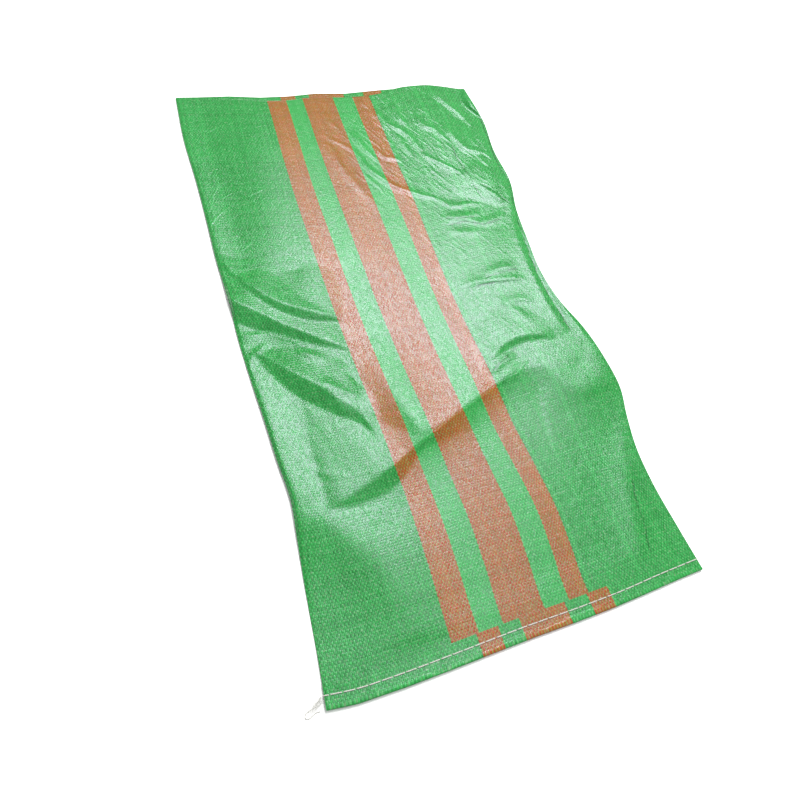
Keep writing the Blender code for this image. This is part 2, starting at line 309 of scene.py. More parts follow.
LEFT_PLEATS = (
    # Pleats that run down from the left edge, each lit above its crest and dark below
    (((4, 596, 0), (14, 566, 2.6), (34, 540, 4.2), (51, 519, 4.4), (72, 500, 5.6), (104, 483, 6.8),
      (122, 474, 6), (132, 468, 4), (140, 462, 1.8), (149, 456, 0)), 0.085, 0.42, 0),
    (((-8, 530, 5), (8, 515, 8), (17, 508, 9), (44, 485, 8.8), (65, 467, 7.4), (87, 452, 6.8),
      (117, 431, 4.8), (133, 420, 2.4), (148, 409, 0)), 0.14, 0.34, 0),
    (((2, 462, 0), (12, 459, 1.2), (43, 455, 1.8), (60, 446, 1.8), (82, 433, 1.8), (101, 424, 1.6),
      (121, 416, 1.2), (140, 410, 0)), 0.45, 0.09, 0),
    # Hollow below the pleats: a hooked ridge and the deep slope that leaves it
    (((6, 402, 0), (9, 412, 1.6), (16, 424, 2), (27, 434, 2), (38, 439, 1.6), (52, 442, 0)),
     0.30, 0.38, 0),
    (((14, 432, 0), (28, 425, 3), (43, 410, 6), (56, 397, 8), (80, 375, 10), (97, 359, 9.5),
      (113, 339, 8), (129, 320, 5.6), (138, 298, 2.4), (142, 280, 0)), 0.19, 0.37, 0),
    (((70, 424, 0), (79, 419, 1.6), (99, 407, 1.6), (112, 400, 0)), 7, 6, 1.5),
    (((88, 376, 0), (95, 371, 1.2), (117, 353, 1.4), (131, 344, 1.2), (140, 340, 0)), 6, 6, 1.5),
    (((130, 384, 0), (134, 374, -1.4), (140, 360, -1.4), (144, 350, 0)), 5, 5, 1.5),
    # Dip that darkens the first stripe
    (((158, 420, 0), (168, 396, 1.6), (176, 372, 4), (182, 348, 6.2), (189, 320, 7.4), (197, 296, 7.2),
      (203, 274, 4.6), (206, 256, 0)), 45, 31, 1.5),
    # Small wrinkles above the long crest
    (((46, 262, 0), (56, 254, 0.7), (76, 245, 0.7), (100, 234, 0)), 0.12, 0.3, 0),
    (((46, 254, 0), (56, 249, 0.6), (66, 245, 0.6), (82, 236, 0)), 0.12, 0.3, 0),
)
RIGHT_FOLDS = (
    # Slope inside the right edge down to a crevice, and the narrow strip outside the crevice
    (((502, 836, 0), (494, 800, 2.2), (489, 756, 2.8), (487, 712, 2.4), (491, 675, 1.6), (487, 645, 1.8),
      (480, 622, 2.6), (472, 597, 3.4), (466, 565, 3.8), (463, 529, 3.8), (461, 489, 3.8), (463, 443, 3.8),
      (469, 402, 2.8), (476, 378, 0)), 0.48, 0.025, 0),
    (((497, 630, 0), (489, 597, 1.4), (483, 571, 1.6), (480, 529, 1.6), (478, 489, 1.8), (482, 443, 2.2),
      (490, 400, 2), (497, 372, 1), (502, 350, 0)), 0.2, 0.24, 0),
    # Cloth that falls away to the edge above the crevice
    (((462, 738, 0), (465, 708, 2.4), (466, 676, 3.2), (464, 650, 2.6), (461, 628, 0)), 0.1, 0.04, 0),
    # Notch at the corner of the mouth, with its strip
    (((500, 914, 2), (498, 897, 4.5), (497, 882, 5.8), (499, 862, 5.8), (503, 846, 4), (508, 830, 1)),
     0.16, 0.45, 0),
    # Long thin ridge from the second stripe to the right edge
    (((203, 822, 0), (220, 801, 1), (241, 783, 1.4), (252, 771, 1.6), (258, 754, 1.8), (266, 730, 2.1),
      (281, 710, 2.3), (294, 693, 2.3), (312, 681, 2.3), (335, 668, 2), (358, 657, 1), (376, 650, 0)),
     0.5, 0.28, 0),
    # Crossways folds below it
    (((350, 621, 0), (378, 617, 1.3), (406, 618, 1.3), (430, 622, 0)), 8, 5, 1.4),
    (((345, 606, 0), (389, 610, 1.5), (419, 600, 1.5), (451, 609, 1.2), (466, 616, 0)), 9, 5, 1.4),
    (((348, 590, 0), (372, 586, 1), (398, 583, 1), (420, 588, 0)), 8, 6, 1.4),
    (((375, 500, 0), (396, 505, 1.8), (421, 510, 1.8), (440, 506, 0)), 10, 6, 1.4),
    (((326, 484, 0), (356, 490, 1.6), (396, 490, 2), (431, 487, 1.6), (446, 482, 0)), 10, 6, 1.4),
    (((380, 462, 0), (398, 440, 1.6), (411, 424, 1.6), (424, 404, 0)), 8, 6, 1.4),
    (((388, 446, 0), (408, 450, 1.4), (428, 448, 1.4), (440, 440, 0)), 8, 5, 1.4),
    (((434, 698, 0), (444, 678, 1), (460, 660, 1.5), (468, 645, 1.5), (480, 632, 0)), 0.55, 0.12, 0),
    # Steep narrow folds between the second stripe and the corner of the mouth
    (((308, 868, 0), (315, 856, 1.8), (324, 837, 2.2), (336, 821, 2.2), (353, 804, 1.9), (366, 770, 1.4),
      (372, 748, 0)), 0.5, 0.24, 0),
    (((310, 842, 0), (318, 829, 1.4), (331, 806, 1.8), (336, 795, 1.8), (345, 761, 1.3), (350, 738, 0)),
     0.5, 0.24, 0),
    (((284, 784, 0), (290, 773, 1.5), (300, 754, 1.7), (315, 749, 1.5), (328, 738, 0)), 0.5, 0.24, 0),
    (((248, 744, 0), (253, 730, 0.9), (258, 713, 1.1), (269, 695, 0.9), (280, 680, 0)), 0.5, 0.3, 0),
    (((256, 820, 0), (262, 807, 1.5), (270, 781, 1.9), (282, 755, 1.5), (293, 736, 0)), 0.5, 0.24, 0),
    (((221, 874, 0), (226, 861, 1), (232, 838, 1.2), (239, 823, 1.1), (245, 802, 0)), 0.5, 0.3, 0),
    (((197, 789, 0), (209, 790, 0.9), (218, 778, 1.1), (221, 747, 1.1), (221, 714, 0)), 0.5, 0.3, 0),
    (((378, 850, 0), (386, 837, 1.8), (393, 819, 2.2), (407, 811, 2.2), (416, 796, 1.8), (424, 776, 0)),
     0.5, 0.22, 0),
    (((346, 880, 0), (350, 862, 1.8), (356, 835, 1.8), (366, 815, 0)), 0.5, 0.22, 0),
    (((430, 912, 0), (440, 898, 2), (461, 860, 2.6), (475, 831, 2.4), (480, 800, 0)), 0.45, 0.2, 0),
    (((424, 826, 0), (431, 811, 1.8), (442, 783, 2.4), (454, 759, 2.4), (470, 753, 1.8), (480, 744, 0)),
     0.5, 0.2, 0),
    (((466, 766, 0), (469, 746, 1.4), (472, 727, 1.4), (486, 716, 0)), 0.5, 0.2, 0),
    (((360, 766, 0), (374, 748, 1.4), (390, 735, 1.7), (410, 716, 1.4), (424, 704, 0)), 0.45, 0.2, 0),
    (((350, 656, 0), (365, 650, 1), (382, 640, 1.2), (403, 642, 1.2), (436, 636, 0)), 0.4, 0.16, 0),
    (((196, 800, 0), (215, 762, 1), (224, 731, 1.2), (240, 688, 1), (256, 640, 0)), 8, 8, 1.5),
    # Crease that runs down to the right end of the hem
    (((490, 228, 0), (474, 192, 1.6), (456, 150, 2.4), (441, 103, 2.8), (428, 60, 1.8), (423, 38, 0)),
     22, 24, 1.5),
)

# Fine lines of the film, too narrow for the mesh: raised ones that catch the light, and pressed ones; the
# colour carries a painted highlight along the raised ones and painted shade along the pressed ones.
# The last raised one lies on the hem's flap, where the back panel shows: its places across are 1000 less
# those of the front.
RAISED_LINES = (
    ((32, 825), (56, 839), (79, 845)), ((82, 832), (123, 838)), ((6, 648), (35, 675)),
    ((29, 693), (45, 702)), ((35, 694), (57, 690), (88, 704)), ((37, 596), (75, 623)),
    ((10, 675), (19, 701), (30, 728)), ((151, 239), (185, 257), (220, 274), (244, 285), (298, 307)),
    ((298, 307), (333, 321), (359, 331), (387, 344)), ((297, 315), (331, 330), (360, 341), (389, 348)),
    ((938, -0.5), (890, -0.5), (824, 2), (738, 6), (655, 9)),
)
PRESSED_LINES = (
    ((425, 766), (425, 732), (438, 644)), ((446, 678), (463, 661), (471, 646), (481, 634)),
    ((359, 615), (406, 613)), ((355, 603), (389, 605), (419, 595), (451, 604)),
    ((384, 495), (421, 505), (437, 503)), ((334, 482), (396, 485), (431, 482)),
    ((503, 828), (497, 760), (493, 722), (498, 678), (491, 643), (480, 600), (471, 529), (469, 470),
     (479, 386)),
    ((463, 145), (450, 98), (437, 41)), ((332, 345), (378, 369)),
)


def curve_value(points, positions):
    """Values of a smooth curve through (position, value) points."""
    points = np.asarray(points, float)
    knots = points[:, 0]
    values = points[:, 1]
    slopes = np.gradient(values, knots)
    positions = np.clip(positions, knots[0], knots[-1])
    low = np.clip(np.searchsorted(knots, positions, side="right") - 1, 0, len(knots) - 2)
    span = knots[low + 1] - knots[low]
    share = (positions - knots[low]) / span
    rise = share * share * (3.0 - 2.0 * share)
    start = share * (1.0 - share) ** 2 * span
    end = share * share * (share - 1.0) * span
    return (values[low] + (values[low + 1] - values[low]) * rise
            + slopes[low] * start + slopes[low + 1] * end)


def edge_lift(across_cloth, along):
    """Height that both layers of the side edges stand off the floor, in millimetres."""
    left = curve_value(LEFT_LIFT, along) * np.exp(-(across_cloth / LEFT_CURL) ** 2)
    right = curve_value(RIGHT_LIFT, along) * np.exp(-((SACK_WIDTH - across_cloth) / RIGHT_CURL) ** 2)
    return np.maximum(left + right, 0.0)


def smooth_step(values):
    """Values from 0 to 1 with a soft start and end, held outside them."""
    share = np.clip(values, 0.0, 1.0)
    return share * share * (3.0 - 2.0 * share)


def fold_line(points, pieces=5):
    """Closely spaced points on a smooth line through a fold's own points."""
    points = np.asarray(points, float)
    steps = np.hypot(*np.diff(points[:, :2], axis=0).T)
    run = np.concatenate(([0.0], np.cumsum(steps)))
    places = np.linspace(0.0, run[-1], (len(points) - 1) * pieces + 1)
    return np.stack([curve_value(np.stack([run, points[:, k]], 1), places) for k in range(3)], 1)


def fold_height(fold, across, along):
    """Height that one fold gives the cloth at each place: rounded sides with a reach, or facets with
    a slope where the roundness is 0."""
    points, left, right, roundness = fold
    line = fold_line(points)
    nearest = np.full(across.shape, np.inf)
    height = np.zeros(across.shape)
    for start, end in zip(line, line[1:]):
        run_x, run_y = end[0] - start[0], end[1] - start[1]
        length = math.hypot(run_x, run_y)
        x, y = across - start[0], along - start[1]
        share = np.clip((x * run_x + y * run_y) / length ** 2, 0.0, 1.0)
        away = np.hypot(x - run_x * share, y - run_y * share)
        side = (run_x * y - run_y * x) / (length * np.maximum(away, 0.01))
        side = np.clip(side, -1.0, 1.0)
        of_side = (left * (1.0 + side) + right * (1.0 - side)) / 2.0
        closer = away < nearest
        nearest = np.where(closer, away, nearest)
        crest = start[2] + (end[2] - start[2]) * share
        if roundness:
            rise = crest * np.exp(-(away / of_side) ** roundness)
        else:
            rise = np.maximum(crest - away * of_side, 0.0)
        height = np.where(closer, rise, height)
    return height


def relief(across, along):
    """Height of the front panel above the flat sack, in millimetres."""
    height = np.zeros(across.shape)
    for fold in SWELLS + CREST_FOLDS + LEFT_PLEATS + RIGHT_FOLDS:
        height = height + fold_height(fold, across, along)
    return np.maximum(height, 0.0)


# How finely the cloth is drawn: places across the front and the back, steps round a side edge, and
# rows along the panels, up to the hem, round the bottom fold and along the hem's flap
FRONT_RIM = (0.0, 1.3, 2.6)
FRONT_MIDDLE_START = 4.4
FRONT_MIDDLE_COLUMNS = 125
BACK_RIM = (0.0, 3.0, 6.5, 11.0, 16.5, 23.0)
BACK_MIDDLE_START = 35.0
BACK_MIDDLE_COLUMNS = 9
EDGE_STEPS = 6
PANEL_ROWS = 262
LIFT_ROWS = 12
BEND_STEPS = 8
FLAP_ROWS = 12
LAST_FLAP_ROW = 0.985

# Where the cloth rises on to the seam's thread, how far the hem bulges at the bottom fold, and how
# soon it has settled again along the flap
LIFT_START = 75.0
LIFT_END = 32.0
HEM_PUFF = 0.8
SETTLING = 1.6

# Where the folds begin above the hem and over how much they grow, how much further the stripes drift
# on the back, and how wide and how much the folds are held down at the left edge
FOLDS_START = 30.0
FOLDS_GROW = 20.0
BACK_DRIFT = 1.3
HELD_WIDTH = 1.9
HELD_SHARE = 0.5


def loop_places():
    """Places round the flattened tube: cloth across, side bulge, and -1 on the back to 1 on the front."""
    middle = np.linspace(FRONT_MIDDLE_START, SACK_WIDTH - FRONT_MIDDLE_START, FRONT_MIDDLE_COLUMNS)
    columns = [*FRONT_RIM, *middle, *[SACK_WIDTH - place for place in reversed(FRONT_RIM)]]
    front = [(column, 0.0, 1.0) for column in reversed(columns)]
    middle = np.linspace(BACK_MIDDLE_START, SACK_WIDTH - BACK_MIDDLE_START, BACK_MIDDLE_COLUMNS)
    columns = [*BACK_RIM, *middle, *[SACK_WIDTH - place for place in reversed(BACK_RIM)]]
    back = [(column, 0.0, -1.0) for column in columns]
    turns = [math.pi * k / EDGE_STEPS for k in range(1, EDGE_STEPS)]
    left = [(0.0, -math.sin(turn), math.cos(turn)) for turn in turns]
    right = [(SACK_WIDTH, math.sin(turn), -math.cos(turn)) for turn in turns]
    return np.array(front + left + back + right)


def path_stations():
    """Middle of the flattened tube from the mouth to the cut edge: along, height, direction to the
    front panel, cloth run from the mouth, and how much of the folds reaches there."""
    rows = []
    for k in range(PANEL_ROWS):
        along = SACK_LENGTH + (LIFT_START - SACK_LENGTH) * k / PANEL_ROWS
        rows.append((along, FLAT_TUBE / 2.0, 0.0, 1.0, SACK_LENGTH - along, 1.0))
    for k in range(LIFT_ROWS + 1):
        share = k / LIFT_ROWS
        along = LIFT_START + (LIFT_END - LIFT_START) * share
        lift = HEM_LIFT * float(smooth_step(share))
        rows.append((along, lift + FLAT_TUBE / 2.0, 0.0, 1.0, SACK_LENGTH - along, 1.0 - share))
    radius = (FLAT_TUBE + LAYER_GAP) / 2.0 + HEM_PUFF / 2.0
    bend_along = radius + FLAT_TUBE / 2.0
    bend_height = HEM_LIFT + FLAT_TUBE / 2.0 + radius
    for k in range(BEND_STEPS + 1):
        turn = math.pi * k / BEND_STEPS
        along = bend_along - radius * math.sin(turn)
        height = bend_height - radius * math.cos(turn)
        run = SACK_LENGTH - bend_along + radius * turn
        rows.append((along, height, math.sin(turn), math.cos(turn), run, 0.0))
    for share in [*np.linspace(0.0, 1.0, FLAP_ROWS)[1:-1], LAST_FLAP_ROW, 1.0]:
        along = bend_along + (HEM_HEIGHT - bend_along) * share
        run = SACK_LENGTH + (HEM_HEIGHT - bend_along) * share
        settle = HEM_PUFF * float(smooth_step(share * SETTLING))
        rows.append((along, bend_height + radius - settle, 0.0, -1.0, run, 0.0))
    return np.array(rows)


def seen_across(cloth, along, front):
    """Where a place on the cloth shows across the floor, from the drift of the edges and stripes, and
    how far inside the nearer side edge it is on the cloth."""
    left = -curve_value(LEFT_EDGE, along)
    right = SACK_WIDTH + curve_value(RIGHT_EDGE, along)
    plain = left + (right - left) * cloth / SACK_WIDTH
    knots = [(0.0, left)]
    for place, drift in STRIPE_DRIFT:
        knots.append((place, place + curve_value(drift, along)))
    knots.append((SACK_WIDTH, right))
    woven = np.zeros(cloth.shape)
    for (low, low_x), (high, high_x) in zip(knots, knots[1:]):
        part = (cloth >= low) & (cloth <= high)
        woven = np.where(part, low_x + (high_x - low_x) * (cloth - low) / (high - low), woven)
    return plain + (woven - plain) * front, np.minimum(cloth, SACK_WIDTH - cloth)


def lift_along_sight(across, along, height):
    """Metres in the frame of a point that shows at a place on the floor and stands at a height."""
    share = height / CAMERA_PLACE.z
    x = across + (CAMERA_PLACE.x - across) * share
    y = along + (CAMERA_PLACE.y - along) * share
    return np.stack([CORNER.x + x * MM, CORNER.y + y * MM, height * MM], -1)


def cloth_points(places, stations):
    """Points of the cloth's outer face for each pair of place and station, and where they show."""
    cloth, bulge, side = places[:, 0], places[:, 1], places[:, 2]
    along, height, toward_y, toward_z, run, open_share = stations.T
    front = np.clip((1.0 + side) / 2.0, 0.0, 1.0)
    half = FLAT_TUBE / 2.0
    across, inside = seen_across(cloth, along, open_share * (BACK_DRIFT - (BACK_DRIFT - 1.0) * front))
    set_back = curve_value(FRONT_LIP_SET_BACK, cloth) * front
    at_mouth = curve_value(BACK_LIP, cloth) - set_back
    at_fold = curve_value(BOTTOM_FOLD, cloth)
    seen_along = along + at_fold + (at_mouth - at_fold) * np.clip(along / SACK_LENGTH, 0.0, 1.0)
    above_hem = smooth_step((along - FOLDS_START) / FOLDS_GROW) * (toward_z > 0.99)
    carried = front + (1.0 - front) * (1.0 - smooth_step(inside / BACK_RIM[-1]))
    rise = relief(across, seen_along) * carried * above_hem
    rise = rise + edge_lift(cloth, along) * smooth_step(open_share)
    rise = rise * (1.0 - HELD_SHARE * np.exp(-(cloth / HELD_WIDTH) ** 2))
    across = across + half * bulge
    seen_along = seen_along + toward_y * half * side
    points = lift_along_sight(across, seen_along, height + toward_z * half * side + rise)
    return points, across, seen_along


def cloth_tube(around, rows):
    """Tube of quads that is open at both ends, and each corner's place round it and its row."""
    tube = bmesh.new()
    bmesh.ops.create_cone(tube, cap_ends=False, segments=around, radius1=1.0, radius2=1.0,
                          depth=float(rows - 1))
    lengthwise = [edge for edge in tube.edges if abs(edge.verts[0].co.z - edge.verts[1].co.z) > 0.5]
    bmesh.ops.subdivide_edges(tube, edges=lengthwise, cuts=rows - 2)
    mesh = bpy.data.meshes.new("sack_cloth")
    tube.to_mesh(mesh)
    tube.free()
    corners = np.empty(len(mesh.vertices) * 3)
    mesh.vertices.foreach_get("co", corners)
    corners = corners.reshape(-1, 3)
    turn = np.arctan2(corners[:, 1], corners[:, 0]) * around / (2.0 * math.pi)
    quarter = 0.25 * around
    place_index = np.round(turn - quarter).astype(int) % around
    row_index = np.round(corners[:, 2] + (rows - 1) / 2.0).astype(int)
    return mesh, place_index, row_index


def add_round_uv(mesh, name, round_place, down_place):
    """UV map from millimetres round the tube, over the front and then the back, and down the sack."""
    corner_vertex = np.empty(len(mesh.loops), int)
    mesh.loops.foreach_get("vertex_index", corner_vertex)
    u = round_place[corner_vertex].reshape(-1, 4)
    v = down_place[corner_vertex].reshape(-1, 4)
    crosses_left = (u.max(axis=1) - u.min(axis=1)) > SACK_WIDTH
    u = np.where(crosses_left[:, None] & (u > SACK_WIDTH), u - 2.0 * SACK_WIDTH, u)
    layer = mesh.uv_layers.new(name=name)
    layer.data.foreach_set("uv", (np.stack([u, v], -1) * MM).ravel())


def make_sack():
    """The whole cloth as one tube, thickened inwards, with two UV maps in metres: the cloth's own
    warp and weft, and where each point shows on the floor."""
    places = loop_places()
    stations = path_stations()
    mesh, place_index, row_index = cloth_tube(len(places), len(stations))
    place, station = places[place_index], stations[row_index]
    points, across, seen_along = cloth_points(place, station)
    mesh.vertices.foreach_set("co", points.ravel())
    on_back = place[:, 2] < 0.0
    warp_place = np.where(on_back, 2.0 * SACK_WIDTH - place[:, 0], place[:, 0])
    seen_place = np.where(on_back, 2.0 * SACK_WIDTH - across, across)
    add_round_uv(mesh, "cloth", warp_place, station[:, 4])
    add_round_uv(mesh, "laid", seen_place, seen_along)
    mesh.polygons.foreach_set("use_smooth", np.ones(len(mesh.polygons), bool))
    mesh.update()
    sack = bpy.data.objects.new("sack_cloth", mesh)
    bpy.context.scene.collection.objects.link(sack)
    wall = sack.modifiers.new("Cloth thickness", "SOLIDIFY")
    wall.thickness = WALL * MM
    wall.offset = -1.0
    return sack


def hem_point(across_cloth, height, along):
    """Point at a place across the hem, at a height and a distance along from the bottom fold."""
    place = np.array([across_cloth], float)
    across, _ = seen_across(place, np.array([along]), np.zeros(1))
    seen_along = along + curve_value(BOTTOM_FOLD, place) * (1.0 - along / SACK_LENGTH)
    return lift_along_sight(across, seen_along, np.array([height]))[0]


def even_points(points, step):
    """Points an even step apart on a smooth line through a few points."""
    points = np.asarray(points, float)
    steps = np.linalg.norm(np.diff(points, axis=0), axis=1)
    run = np.concatenate(([0.0], np.cumsum(steps)))
    places = np.linspace(0.0, run[-1], max(int(round(run[-1] / step)), 2) + 1)
    return np.stack([curve_value(np.stack([run, points[:, k]], 1), places) for k in range(3)], 1)


def twisted_plies(points, plies, lay_radius, lay_length):
    """Lines of the plies that wind round a thread's middle line, which is nowhere upright."""
    ahead = np.gradient(points, axis=0)
    ahead /= np.linalg.norm(ahead, axis=1)[:, None]
    level = np.cross(ahead, (0.3, 0.1, 1.0))
    level /= np.linalg.norm(level, axis=1)[:, None]
    upright = np.cross(level, ahead)
    run = np.concatenate(([0.0], np.cumsum(np.linalg.norm(np.diff(points, axis=0), axis=1))))
    lines = []
    for ply in range(plies):
        turn = (run / lay_length + ply / plies)[:, None] * 2.0 * math.pi
        lines.append(points + lay_radius * (np.cos(turn) * level + np.sin(turn) * upright))
    return lines


def thread_curve(name, lines, radius, sides=1):
    """Curve object with a round section along each line of points."""
    curve = bpy.data.curves.new(name, "CURVE")
    curve.dimensions = "3D"
    curve.bevel_depth = radius
    curve.bevel_resolution = sides
    curve.use_fill_caps = True
    for points in lines:
        spline = curve.splines.new("POLY")
        spline.points.add(len(points) - 1)
        spline.points.foreach_set("co", np.insert(points, 3, 1.0, axis=1).ravel())
        spline.use_smooth = True
    piece = bpy.data.objects.new(name, curve)
    bpy.context.scene.collection.objects.link(piece)
    return piece


def front_stitches():
    """Middle line of the needle thread: round the left edge, stitch by stitch along the front with a
    dip at each needle hole, and round the right edge."""
    places = list(LEFT_TURN)
    for stitch in range(STITCHES):
        hole = STITCH_START + STITCH_PITCH * stitch
        places += [(hole + aside, HEM_TOP + height) for aside, height in NEEDLE_HOLE]
        places.append((hole + STITCH_PITCH / 2.0, HEM_TOP + STITCH_CROWN))
    places += [(SACK_WIDTH + aside, height) for aside, height in RIGHT_TURN]
    return np.array([hem_point(across, height, SEAM_HEIGHT) for across, height in places])


def back_chain(side):
    """One strand of the looper thread's chain under the hem, drawn in at each needle hole."""
    points = []
    for k in range(CHAIN_POINTS * STITCHES + 1):
        across = STITCH_START + STITCH_PITCH * k / CHAIN_POINTS
        belly = abs(math.sin(math.pi * (k + CHAIN_START) / CHAIN_POINTS))
        spread = CHAIN_WAIST + CHAIN_BELLY * belly
        points.append(hem_point(across, SEAM_LOW, SEAM_HEIGHT + side * spread))
    return np.array(points)


def make_seam():
    """The white chain stitch: twisted needle thread on the front, looper chain on the back."""
    front = even_points(front_stitches(), NEEDLE_STEP * MM)
    lines = twisted_plies(front, 2, PLY_LAY * MM, TWIST * MM)
    lines += [even_points(back_chain(side), CHAIN_STEP * MM) for side in (-1.0, 1.0)]
    return thread_curve("hem_seam", lines, PLY_RADIUS * MM)


def make_tail():
    """The seam's loose thread end, as one cord."""
    corner = np.array([CORNER.x, CORNER.y, 0.0])
    route = np.concatenate([[TAIL_START], corner + np.array(TAIL_ROUTE)])
    line = even_points(route, CORD_STEP * MM)
    return thread_curve("thread_end", [line], TAIL_DIAMETER / 2.0, 2)


def make_fray():
    """The fibres that have frayed out of the thread end, each a little bent, down to the floor."""
    rng = np.random.default_rng(7)
    start = np.array(TAIL_START)
    share = np.linspace(0.0, 1.0, 7)[:, None]
    fibres = []
    for _ in range(FIBRES):
        from_start = (rng.uniform(*FIBRE_ASIDE), -rng.uniform(*FIBRE_BACK), -rng.uniform(*FIBRE_DOWN))
        base = start + np.array(from_start) * MM
        turn = math.radians(rng.uniform(*FIBRE_TURN))
        length = rng.uniform(*FIBRE_LENGTH) * MM
        ahead = np.array([[math.cos(turn), math.sin(turn), 0.0]])
        sideways = np.array([[-math.sin(turn), math.cos(turn), 0.0]])
        bend = rng.normal(0.0, FIBRE_BEND) * share ** 2
        wave = FIBRE_WAVE * np.sin(share * rng.uniform(4.0, 9.0))
        fibre = base + length * (ahead * share + sideways * (bend + wave))
        fibre[:, 2] = base[2] * (1.0 - share[:, 0]) + rng.uniform(*FIBRE_TIP) * MM * share[:, 0]
        fibres.append(even_points(fibre, FIBRE_STEP * MM))
    return thread_curve("thread_fray", fibres, FIBRE_RADIUS * MM, 0)


def colour(code):
    """sRGB hex to linear colour."""
    parts = [int(code[k:k + 2], 16) / 255.0 for k in (0, 2, 4)]
    return (*[c / 12.92 if c <= 0.04045 else ((c + 0.055) / 1.055) ** 2.4 for c in parts], 1.0)


def add_node(tree, kind, inputs=None, **settings):
    """Adds a shader node with its settings, and gives each input its value or a link. Gives its outputs."""
    node = tree.nodes.new(kind)
    for name, value in settings.items():
        setattr(node, name, value)
    for place, value in (inputs or {}).items():
        if isinstance(value, bpy.types.NodeSocket):
            tree.links.new(value, node.inputs[place])
        else:
            node.inputs[place].default_value = value
    return node.outputs


def new_material(name):
    """Empty material, with its node tree and its main shader."""
    material = bpy.data.materials.new(name)
    material.use_nodes = True
    tree = material.node_tree
    return material, tree, tree.nodes["Principled BSDF"]


def stripe_mask(tree, round_place, stripes):
    """1 where a warp tape's middle lies in one of the stripes, which are in millimetres of cloth."""
    total = 0.0
    for low, high in stripes:
        part = add_node(tree, "ShaderNodeMath", {0: round_place, 1: (low + high) / 2.0 * MM,
                                                 2: (high - low) / 2.0 * MM}, operation="COMPARE")[0]
        total = add_node(tree, "ShaderNodeMath", {0: total, 1: part}, operation="ADD")[0]
    return total


def near_lines(tree, place, lines, reach):
    """1 on any of the lines, given in millimetres as laid, falling to 0 at a reach from them."""
    nearest = 1.0
    for line in lines:
        for (x, y), (end_x, end_y) in zip(line, line[1:]):
            run = Vector((end_x - x, end_y - y, 0.0)) * MM
            offset = add_node(tree, "ShaderNodeVectorMath", {0: place, 1: (x * MM, y * MM, 0.0)},
                              operation="SUBTRACT")[0]
            share = add_node(tree, "ShaderNodeVectorMath", {0: offset, 1: tuple(run / run.length_squared)},
                             operation="DOT_PRODUCT")[1]
            held = add_node(tree, "ShaderNodeClamp", {0: share})[0]
            foot = add_node(tree, "ShaderNodeVectorMath", {0: tuple(run), "Scale": held},
                            operation="SCALE")[0]
            away = add_node(tree, "ShaderNodeVectorMath", {0: offset, 1: foot}, operation="DISTANCE")[1]
            nearest = add_node(tree, "ShaderNodeMath", {0: nearest, 1: away}, operation="MINIMUM")[0]
    return add_node(tree, "ShaderNodeMapRange", {0: nearest, 1: 0.0, 2: reach * MM, 3: 1.0, 4: 0.0},
                    interpolation_type="SMOOTHSTEP")[0]


def crumple_share(tree, laid):
    """How crumpled the film is: most near the mouth's right half, some above the shoulder."""
    across, along, _ = add_node(tree, "ShaderNodeSeparateXYZ", {0: laid})
    shares = []
    for place, (start, end, first, last) in ((across, CRUMPLED_RIGHT), (across, CRUMPLED_BACK),
                                             (along, CRUMPLED_MOUTH), (along, CRUMPLED_SHOULDER)):
        shares.append(add_node(tree, "ShaderNodeMapRange",
                               {0: place, 1: start * MM, 2: end * MM, 3: first, 4: last},
                               interpolation_type="SMOOTHSTEP")[0])
    right, on_front, near_mouth, above_shoulder = shares
    high = add_node(tree, "ShaderNodeMath", {0: near_mouth, 1: above_shoulder}, operation="MAXIMUM")[0]
    high_right = add_node(tree, "ShaderNodeMath", {0: right, 1: high}, operation="MULTIPLY")[0]
    share = add_node(tree, "ShaderNodeMath", {0: high_right, 1: on_front}, operation="MULTIPLY")[0]
    return add_node(tree, "ShaderNodeMath", {0: share, 1: CRUMPLED_LEAST}, operation="MAXIMUM")[0]


def film_crumple(tree, laid, share):
    """Height of the film's crumples, drawn out along the steep folds near the mouth, over its pebbled
    and grainy face."""
    turned = add_node(tree, "ShaderNodeMapping",
                      {"Vector": laid, "Rotation": (0.0, 0.0, math.radians(FOLD_DIRECTION))})[0]
    counts = (CRUMPLES_ALONG / HUNDRED_MM, CRUMPLES_ACROSS / HUNDRED_MM, 1.0)
    drawn_out = add_node(tree, "ShaderNodeVectorMath", {0: turned, 1: counts}, operation="MULTIPLY")[0]
    bend = add_node(tree, "ShaderNodeTexNoise", {"Vector": laid, "Scale": CRUMPLE_BENDS / HUNDRED_MM})[0]
    shift = add_node(tree, "ShaderNodeVectorMath", {0: (1.2, 2.4, 0.0), "Scale": bend},
                     operation="SCALE")[0]
    bent = add_node(tree, "ShaderNodeVectorMath", {0: drawn_out, 1: shift}, operation="ADD")[0]
    ridges = add_node(tree, "ShaderNodeTexNoise", {"Vector": bent, "Scale": 1.0, "Detail": 3.0,
                                                   "Roughness": 0.55}, noise_type="RIDGED_MULTIFRACTAL")[0]
    height = 0.0
    for wave_count, detail, wave_height in ((PEBBLES, 3.0, PEBBLE_HEIGHT), (GRAINS, 2.0, GRAIN_HEIGHT)):
        wave = add_node(tree, "ShaderNodeTexNoise", {"Vector": laid, "Scale": wave_count / HUNDRED_MM,
                                                     "Detail": detail, "Roughness": 0.6})[0]
        height = add_node(tree, "ShaderNodeMath", {0: wave, 1: wave_height * MM, 2: height},
                          operation="MULTIPLY_ADD")[0]
    crumpled = add_node(tree, "ShaderNodeMath", {0: ridges, 1: share}, operation="MULTIPLY")[0]
    return add_node(tree, "ShaderNodeMath", {0: crumpled, 1: CRUMPLE_HEIGHT * MM, 2: height},
                    operation="MULTIPLY_ADD")[0]


